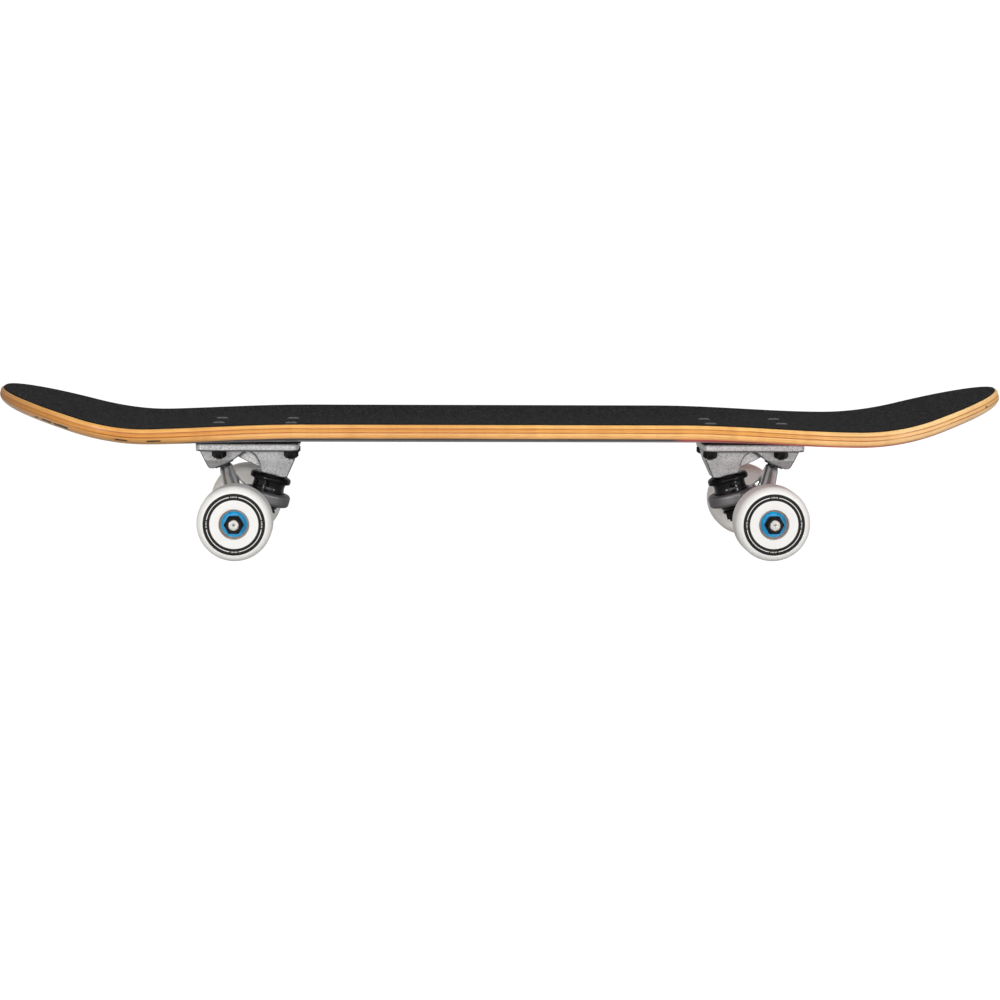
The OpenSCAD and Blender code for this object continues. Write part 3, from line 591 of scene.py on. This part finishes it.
def deck_layer(name, w0, w1, mats, inset, rows=4):
    """One ply: lower face, upper face, and an edge in several rows that follows the routed rail."""
    ns, nl = len(STATIONS), len(LANES)
    verts, faces, fm, tag = [], [], [], []
    levels = [w0 + (w1 - w0) * k / rows for k in range(rows + 1)]
    base = []
    for k, w in enumerate(levels):
        grid = []
        full = k in (0, rows)
        for st in STATIONS:
            x, h = outline(st, inset(w, wear(st)))
            lanes = LANES if full else (LANES[0], LANES[-1])
            grid.append([len(verts) + j for j in range(len(lanes))])
            verts += [deck_point(x, h * l, w) for l in lanes]
        base.append(grid)
    for k, flip in ((0, False), (rows, True)):
        g = base[k]
        for i in range(ns - 1):
            for j in range(nl - 1):
                q = (g[i][j], g[i][j + 1], g[i + 1][j + 1], g[i + 1][j])
                faces.append(q if not flip else q[::-1])
                fm.append(1 if k == 0 else 2)
    for k in range(rows):
        a, b = base[k], base[k + 1]
        for i in range(ns - 1):
            for s in (0, -1):
                faces.append((a[i][s], a[i + 1][s], b[i + 1][s], b[i][s]))
                fm.append(0)
    # both tips: the last station is a short straight row
    for i in (0, ns - 1):
        for k in range(rows):
            a, b = base[k][i], base[k + 1][i]
            lower = list(a) if k == 0 else [a[0], a[-1]]
            upper = list(b) if k == rows - 1 else [b[0], b[-1]]
            faces.append(tuple(lower + upper[::-1]))
            fm.append(0)

    def uv(p, me):
        out = []
        edge = fm[p.index] == 0
        for li in p.loop_indices:
            co = me.vertices[me.loops[li].vertex_index].co
            if edge:
                h = co.z - deck_height(co.x, min(HALF_W, max(-HALF_W, co.y)))
                out.append((co.x + co.y * 0.6, h - w0))
            else:
                out.append((co.x + w0 * 50, co.y + w0 * 30))
        return out

    ob = new_piece(name, verts, faces, mats, "board", [name.replace("deck_", "")], 50, uv, fm)
    drill(ob)


def drill(ob):
    """Cuts the eight bolt holes."""
    bpy.context.view_layer.objects.active = ob
    mod = ob.modifiers.new("holes", "BOOLEAN")
    mod.operation, mod.solver, mod.object = "DIFFERENCE", "EXACT", DRILL
    dg = bpy.context.evaluated_depsgraph_get()
    me = bpy.data.meshes.new_from_object(ob.evaluated_get(dg))
    ob.modifiers.remove(mod)
    ob.data = me
    finish_mesh(ob, 50)


def make_drill():
    """Eight countersunk cutters at the bolt places."""
    verts, faces = [], []
    top = DECK_Z + WOOD + GRIP_T
    low, lip = DECK_Z - 5 * MM, top + 5 * MM
    r_hole, r_sink, r_head = 2.7 * MM, 4.6 * MM, 4.5 * MM
    prof = [(0, low), (r_hole, low), (r_hole, top - 2.5 * MM)]
    prof += [(r_sink, top - 0.05 * MM), (r_sink, lip), (0, lip)]
    for t in TRUCKS:
        lo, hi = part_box(t + "_mounting_bolts")
        for x in (lo.x + r_head, hi.x - r_head):
            for y in (lo.y + r_head, hi.y - r_head):
                v, f = lathe(prof, 28, close=False)
                n = len(verts)
                verts += [(a + x, b + y, c) for a, b, c in v]
                faces += [tuple(i + n for i in q) for q in f]
    me = bpy.data.meshes.new("drill")
    me.from_pydata(verts, [], faces)
    ob = bpy.data.objects.new("drill", me)
    bpy.context.scene.collection.objects.link(ob)
    finish_mesh(ob, 30)
    ob.hide_render = True
    return ob


DRILL = make_drill()
PLY_MATS = {1: M_UNDER_EDGE, 2: M_LOW, 3: M_CROSS_LOW, 4: M_MID, 5: M_CROSS, 6: M_SIX, 7: M_LIGHT}
for i in range(1, 8):
    m = PLY_MATS[i]
    deck_layer(f"deck_veneer_{i}", (i - 1) * PLY, i * PLY, [m, M_UNDER if i == 1 else m, m],
               rail_inset, 2 if i == 5 else 5)
deck_layer("deck_grip_tape", WOOD, WOOD + GRIP_T, [M_GRIP_EDGE, M_GRIP, M_GRIP], grip_inset, 3)
bpy.data.objects.remove(DRILL)


# ---------------------------------------------------------------- wheels

SEAT_R, STEP_R = 11.0 * MM, 9.0 * MM
STEP_FROM, STEP_TO = 10.5 * MM, 20.5 * MM
LIP_R, LIP_W, SEAT_ROUND = 5.5 * MM, 7.5 * MM, 0.45 * MM
FACE_RINGS = [14.5 * MM, 17.0 * MM, 20 * MM]
BEARING_Z, BEARING_W = (3.5 * MM, 20.5 * MM), 7 * MM
# (radius, depth) in mm: a dished ring with a rolled rim
SHIELD = [(6.2, 0.28), (6.35, 0.08), (6.9, 0.05), (7.3, 0.20), (8.6, 0.20), (8.9, 0.05),
          (9.35, 0.05), (9.48, 0.18), (9.48, 0.5), (6.2, 0.5)]


def wheel_frame(truck, side):
    """Matrix from a wheel's own frame (Z outward from its inner face), and its centre, width and radius."""
    lo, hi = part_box(f"{truck}_{side}_wheel")
    c = (lo + hi) / 2
    s = -1 if side == "right" else 1
    inner = Vector((c.x, lo.y if s > 0 else hi.y, c.z))
    rot = Matrix.Rotation(math.radians(-90 * s), 4, "X")
    return Matrix.Translation(inner) @ rot, c, hi.y - lo.y, (hi.z - lo.z) / 2


def tyre(truck, side):
    """Urethane wheel: lipped faces, a fine parting line round the tread, and two bearing seats."""
    place, centre, wide, r = wheel_frame(truck, side)
    turn_in = SEAT_R + SEAT_ROUND
    prof = [(SEAT_R, SEAT_ROUND), *arc(turn_in, SEAT_ROUND, SEAT_ROUND, SEAT_ROUND, 180, 270, 4)[1:]]
    prof += [(ring, 0) for ring in FACE_RINGS]
    prof += arc(r - LIP_R, LIP_W, LIP_R, LIP_W, -90, 0, 20)
    prof += [(r, LIP_W + 3 * MM), (r, wide / 2 - 0.35 * MM), (r - 0.04 * MM, wide / 2)]
    prof += [(r, wide / 2 + 0.35 * MM), (r, wide - LIP_W - 3 * MM)]
    prof += arc(r - LIP_R, wide - LIP_W, LIP_R, LIP_W, 0, 90, 20)
    prof += [(ring, wide) for ring in reversed(FACE_RINGS)]
    prof += arc(turn_in, wide - SEAT_ROUND, SEAT_ROUND, SEAT_ROUND, 90, 180, 4)
    prof += [(SEAT_R, STEP_TO), (STEP_R, STEP_TO), (STEP_R, STEP_FROM), (SEAT_R, STEP_FROM)]
    v, f = lathe(prof, 128)
    new_piece(f"{truck}_{side}_tyre", placed(v, place), f, [M_WHEEL[side]], f"{truck}_{side}_wheel_body",
              [f"{truck}_{side}_wheel"], 35, origin=centre)


def shield_rings(truck, side):
    """One shield on each side of both bearings."""
    place, centre, _, _ = wheel_frame(truck, side)
    verts, faces = [], []
    for start in BEARING_Z:
        for face, sign in ((start, 1), (start + BEARING_W, -1)):
            v, f = lathe([(r * MM, face + sign * z * MM) for r, z in SHIELD], 72)
            n = len(verts)
            verts += v
            faces += [tuple(i + n for i in q) for q in f]
    new_piece(f"{truck}_{side}_shield_rings", placed(verts, place), faces, [M_SHIELD],
              f"{truck}_{side}_wheel_body", [f"{truck}_{side}_shields"], 30, origin=centre)


for t, s in WHEELS:
    tyre(t, s)
    shield_rings(t, s)


# ---------------------------------------------------------------- lock nuts

def lock_nut(af, high, hex_high, bore, collar):
    """Chamfered hexagon with a nylon-insert collar, along local Z from its seat, corners on local X."""
    steps = 72
    flat, corner = af / 2, af / math.sqrt(3)
    cut = corner - flat
    rings = [(bore, 0.0), (flat - 0.1 * MM, 0.0), (corner, cut * 0.55), (corner, hex_high - cut * 0.6)]
    rings += [(flat - 0.05 * MM, hex_high)]
    rings += [(collar, hex_high + 0.02 * MM), (collar, high - 0.5 * MM), (collar - 0.35 * MM, high)]
    rings += [(bore + 0.45 * MM, high), (bore, high - 0.3 * MM)]
    verts, faces = [], []
    for r, z in rings:
        for i in range(steps):
            a = 2 * math.pi * i / steps
            off = (a % (math.pi / 3)) - math.pi / 6
            k = min(r, flat / math.cos(off))
            verts.append((k * math.cos(a), k * math.sin(a), z))
    for n in range(len(rings)):
        m = (n + 1) % len(rings)
        for i in range(steps):
            j = (i + 1) % steps
            faces.append((n * steps + i, n * steps + j, m * steps + j, m * steps + i))
    return verts, faces


def nut_set(name, frames, shape, body, node):
    verts, faces = [], []
    for m in frames:
        v, f = lock_nut(*shape)
        n = len(verts)
        verts += placed(v, m)
        faces += [tuple(i + n for i in q) for q in f]
    new_piece(name, verts, faces, [M_BOLT], body, [node], 25)


AXLE_NUT_AF, AXLE_NUT_H = 12.7 * MM, 6.5 * MM
DECK_NUT_AF = 9.5 * MM


def axle_nuts(truck):
    lo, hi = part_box(truck + "_axle_nuts")
    c = (lo + hi) / 2
    frames = []
    for s in (-1, 1):
        seat = Matrix.Translation((c.x, s * (hi.y - AXLE_NUT_H), c.z))
        frames.append(seat @ Matrix.Rotation(math.radians(-90 * s), 4, "X"))
    shape = (AXLE_NUT_AF, AXLE_NUT_H, 4.9 * MM, 4.0 * MM, 5.6 * MM)
    nut_set(truck + "_lock_nuts", frames, shape, truck + "_hanger_body", truck + "_axle_nuts")


def deck_nuts(truck):
    lo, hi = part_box(truck + "_mounting_nuts")
    dx, dy = DECK_NUT_AF / math.sqrt(3), DECK_NUT_AF / 2
    down = Matrix.Rotation(math.pi, 4, "X")
    places = [(x, y, hi.z) for x in (lo.x + dx, hi.x - dx) for y in (lo.y + dy, hi.y - dy)]
    frames = [Matrix.Translation(p) @ down for p in places]
    shape = (DECK_NUT_AF, hi.z - lo.z, 4.5 * MM, 2.4 * MM, 4.5 * MM)
    nut_set(truck + "_deck_nuts", frames, shape, "board", truck + "_mounting_nuts")


for t in TRUCKS:
    axle_nuts(t)
    deck_nuts(t)


# ---------------------------------------------------------------- bushings

# (radius, height up the kingpin) in mm, from the end that the board holds to the end in the hanger's ring
BUSHINGS = {
    "top_bushing": [(10.6, 1.9), (11.9, 1.2), (12.4, 0.2), (12.4, -2.6), (12.1, -3.6), (12.1, -5.6),
                    (12.4, -6.6), (12.5, -10.1), (12.2, -10.5)],
    "bottom_bushing": [(8.9, -22.9), (9.4, -22.5), (12.0, -18.9), (12.2, -18.4), (12.2, -17.2),
                       (12.0, -17.0)],
}
STILL_UNTIL = {"top_bushing": -1.5, "bottom_bushing": -22.6}
RING_FACE = {"top_bushing": -9.0, "bottom_bushing": -18.5}
BORE_R, BORE_SPREAD = 5.1, 1.25
AXLE_X = {"tail": -198.5 * MM, "nose": 194.4 * MM}
FACING = {"tail": 0.0, "nose": math.pi}
KINGPIN_X, KINGPIN_Z, KINGPIN_TILT = 22.1 * MM, 51 * MM, math.radians(15.5)


def finer(points, step):
    """The same outline with points no more than a step apart."""
    out = []
    for (r0, k0), (r1, k1) in zip(points, points[1:]):
        n = max(1, math.ceil(math.hypot(r1 - r0, k1 - k0) / step))
        out += [(r0 + (r1 - r0) * i / n, k0 + (k1 - k0) * i / n) for i in range(n)]
    return out + [points[-1]]


def kingpin_frame(truck):
    """Matrix from the kingpin's own frame, with Z up the pin, to the CAD frame."""
    axle = Matrix.Translation((AXLE_X[truck], 0, 0)) @ Matrix.Rotation(FACING[truck], 4, "Z")
    return axle @ Matrix.Translation((KINGPIN_X, 0, KINGPIN_Z)) @ Matrix.Rotation(KINGPIN_TILT, 4, "Y")


def bushing(truck, kind):
    """Urethane ring about the kingpin; its bore widens from where the board holds it toward the hanger's
    ring.
    """
    on_pin = kingpin_frame(truck)
    outer = finer(BUSHINGS[kind], 0.5)
    still, ring = STILL_UNTIL[kind], RING_FACE[kind]
    k0, k1 = outer[0][1], outer[-1][1]
    bore = []
    for i in range(17):
        k = k1 + (k0 - k1) * i / 16
        bore.append((BORE_R + BORE_SPREAD * min(1, max(0, (k - still) / (ring - still))), k))
    v, f = lathe([(r * MM, k * MM) for r, k in outer + bore], 96)
    ob = new_piece(f"{truck}_{kind}_urethane", placed(v, on_pin), f, [M_URETHANE], None,
                   [f"{truck}_{kind}"], 30)
    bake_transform(ob)


for t in TRUCKS:
    for k in BUSHINGS:
        bushing(t, k)


# ---------------------------------------------------------------- kept CAD nodes

def dress(node, mat, bevel=0.0, remesh=0.0, smooth=0):
    """Gives a CAD node its material, and softens its edges with modifiers only."""
    ob = nodes[node]
    ob.data.materials.clear()
    ob.data.materials.append(mat.m)
    if remesh:
        r = ob.modifiers.new("cast", "REMESH")
        r.mode, r.voxel_size, r.use_smooth_shade = "VOXEL", remesh, True
        if smooth:
            k = ob.modifiers.new("soft", "SMOOTH")
            k.factor, k.iterations = 0.5, smooth
    elif bevel:
        w = ob.modifiers.new("weld", "WELD")
        w.merge_threshold = 0.00001
        b = ob.modifiers.new("edge", "BEVEL")
        b.width, b.segments, b.limit_method, b.angle_limit = bevel, 2, "ANGLE", math.radians(35)
        b.harden_normals = True


for t in TRUCKS:
    dress(t + "_baseplate", M_CAST, remesh=0.55 * MM, smooth=5)
    dress(t + "_hanger", M_HANGER, remesh=0.6 * MM, smooth=8)
    dress(t + "_riser_pad", M_RISER)
    dress(t + "_pivot_cup", M_CUP)
    dress(t + "_kingpin", M_STEEL)
    dress(t + "_kingpin_nut", M_BOLT, bevel=0.25 * MM)
    dress(t + "_top_washer", M_WASHER, bevel=0.3 * MM)
    dress(t + "_bottom_washer", M_WASHER, bevel=0.2 * MM)
    dress(t + "_mounting_bolts", M_WORN, bevel=0.12 * MM)
    dress(t + "_axle", M_STEEL, bevel=0.15 * MM)
    dress(t + "_speed_washers", M_STEEL)
    dress(t + "_bearing_spacers", M_STEEL)
    dress(t + "_bearing_inner_races", M_RACE)
for t, s in WHEELS:
    dress(f"{t}_{s}_outer_races", M_RACE)
    dress(f"{t}_{s}_balls", M_STEEL)


# ---------------------------------------------------------------- stage, light, camera

def floor():
    """Pale floor that lights the object from below. The camera sees the white room in its place."""
    bpy.ops.mesh.primitive_plane_add(size=60, location=(0, 20, 0))
    ob = bpy.context.object
    ob.name = "floor"
    m = Shader("floor_white", Roughness=0.95, Specular_IOR_Level=0.0)
    vec = m.coord("Object")
    m.set("Base Color", m.ramp(m.noise(vec, 2.0, 2), [(0.0, 0.58), (1.0, 0.62)]))
    ob.data.materials.append(m.m)
    ob.visible_camera = False


def area(name, loc, target, size, power):
    d = bpy.data.lights.new(name, "AREA")
    d.shape, d.size, d.size_y, d.energy = "RECTANGLE", size[0], size[1], power
    ob = bpy.data.objects.new(name, d)
    bpy.context.scene.collection.objects.link(ob)
    ob.location = loc
    ob.rotation_euler = (Vector(target) - Vector(loc)).to_track_quat("-Z", "Y").to_euler()


def studio():
    """A room that is grey to the object and white to the camera, with five soft lights."""
    w = bpy.data.worlds.new("studio")
    bpy.context.scene.world = w
    w.use_nodes = True
    t = w.node_tree
    t.nodes.clear()
    new, link = t.nodes.new, t.links.new
    out, mix = new("ShaderNodeOutputWorld"), new("ShaderNodeMixShader")
    room, white = new("ShaderNodeBackground"), new("ShaderNodeBackground")
    sep, ramp, mul = new("ShaderNodeSeparateXYZ"), new("ShaderNodeValToRGB"), new("ShaderNodeMath")
    mul.operation = "MULTIPLY_ADD"
    mul.inputs[1].default_value, mul.inputs[2].default_value = 0.5, 0.5
    link(new("ShaderNodeTexCoord").outputs["Generated"], sep.inputs[0])
    link(sep.outputs[1], mul.inputs[0])
    link(mul.outputs[0], ramp.inputs[0])
    ramp.color_ramp.elements.new(0.5)
    for e, (p, c) in zip(ramp.color_ramp.elements, ((0.1, 0.48), (0.5, 0.38), (0.85, 0.42))):
        e.position, e.color = p, (c, c, c, 1)
    link(ramp.outputs[0], room.inputs[0])
    link(new("ShaderNodeLightPath").outputs["Is Camera Ray"], mix.inputs[0])
    link(room.outputs[0], mix.inputs[1])
    link(white.outputs[0], mix.inputs[2])
    white.inputs[0].default_value = (1.05, 1.05, 1.05, 1)
    link(mix.outputs[0], out.inputs[0])
    area("key", (0.3, -2.4, 1.0), (0, 0, 0.05), (2.2, 1.5), 21)
    area("strip_left", (-1.0, -1.5, 0.40), (-0.1, 0, 0.06), (0.16, 0.8), 10)
    area("strip_right", (1.3, -1.3, 0.45), (0.1, 0, 0.06), (0.22, 0.9), 7)
    area("low_fill", (0, -2.3, 0.08), (0, 0, 0.06), (2.2, 0.3), 6)
    area("top", (0, 0.1, 1.9), (0, 0, 0.0), (2.0, 1.0), 12)


def camera():
    """The photograph's viewpoint."""
    yaw, pitch, roll = math.radians(2.47), math.radians(-6.70), math.radians(0.35)
    fw = Vector((math.sin(yaw) * math.cos(pitch), math.cos(yaw) * math.cos(pitch), math.sin(pitch)))
    r = Vector((math.cos(yaw), -math.sin(yaw), 0))
    u = r.cross(fw)
    r2 = r * math.cos(roll) + u * math.sin(roll)
    u2 = -r * math.sin(roll) + u * math.cos(roll)
    m = Matrix((r2, u2, -fw)).transposed().to_4x4()
    m.translation = Vector((-0.0844, -1.9093, 0.2594))
    d = bpy.data.cameras.new("camera")
    d.sensor_width, d.lens, d.clip_end = 36.0, 90.9, 200.0
    ob = bpy.data.objects.new("camera", d)
    bpy.context.scene.collection.objects.link(ob)
    ob.matrix_world = m
    bpy.context.scene.camera = ob


floor()
studio()
camera()
bpy.context.scene.view_settings.view_transform = "Standard"
bpy.context.scene.view_settings.look = "None"
